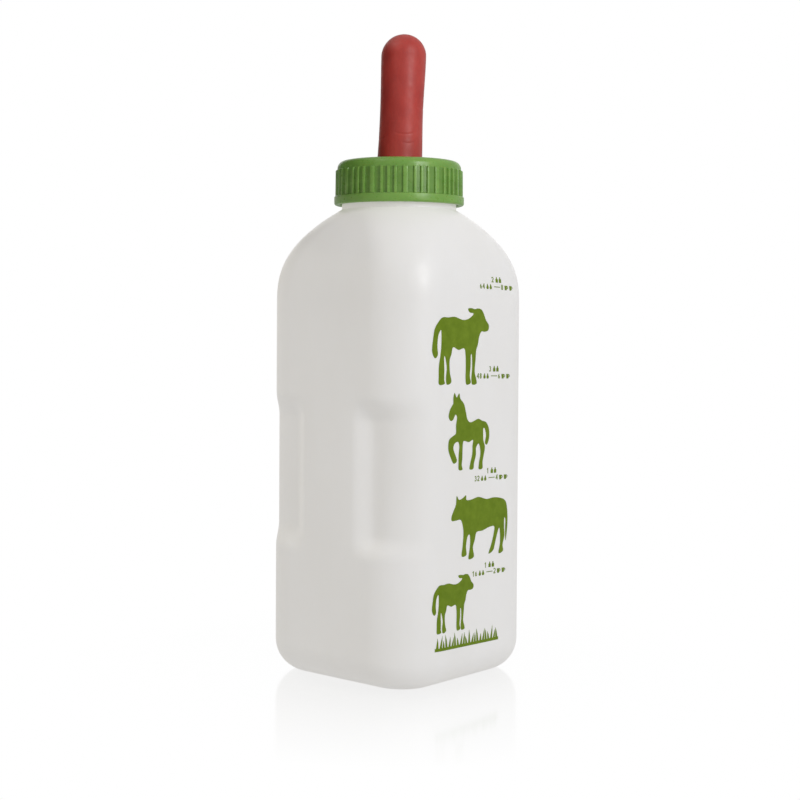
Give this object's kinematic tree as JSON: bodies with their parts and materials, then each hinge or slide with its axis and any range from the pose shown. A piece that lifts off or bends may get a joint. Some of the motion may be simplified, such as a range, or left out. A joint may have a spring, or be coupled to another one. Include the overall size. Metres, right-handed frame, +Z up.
{
  "type": "calf feeding bottle",
  "caption": "Square blow-moulded feeding bottle for calves, with a one-sided hand grip, a ribbed screw cap, a long pull-through rubber nipple and a ball vent.",
  "frame": {"origin": "centre of the base, on the ground the bottle stands on", "axes": "+Z up through the neck and nipple, printed panel faces -Y, hand grip faces -X"},
  "size_m": [0.105, 0.1051, 0.3298],
  "materials": {
    "bottle_plastic": "milky white polyethylene, satin",
    "cap_plastic": "moulded green polypropylene, satin",
    "nipple_rubber": "soft red rubber, matte, slightly mottled",
    "vent_plastic": "turned white plastic",
    "vent_steel": "polished stainless ball",
    "ink": "olive green screen print"
  },
  "bodies": {
    "bottle": {"bottle": "bottle_plastic", "print_scale": "ink", "print_calf": "ink", "print_foal": "ink", "print_cow": "ink", "print_small_calf": "ink", "print_grass": "ink"},
    "nipple": {"nipple": "nipple_rubber", "vent_seat": "vent_plastic"},
    "screw_cap": {"screw_cap": "cap_plastic"},
    "vent_ball": {"vent_ball": "vent_steel"}
  },
  "joints": [
    {"name": "nipple_lift", "type": "slide", "parent": "bottle", "child": "nipple", "axis": [0, 0, 1], "range_m": [0, 0.019]},
    {"name": "cap_turn", "type": "hinge", "parent": "nipple", "child": "screw_cap", "pos_m": [0, 0, 0.2514], "axis": [0, 0, 1], "range_deg": [0, 1620]},
    {"name": "vent_ball_lift", "type": "slide", "parent": "nipple", "child": "vent_ball", "axis": [0, 0, 1], "range_m": [0, 0.0012]}
  ],
  "couplings": [
    {"joint": "nipple_lift", "follows": "cap_turn", "m_per_rad": 0.00066845}
  ]
}
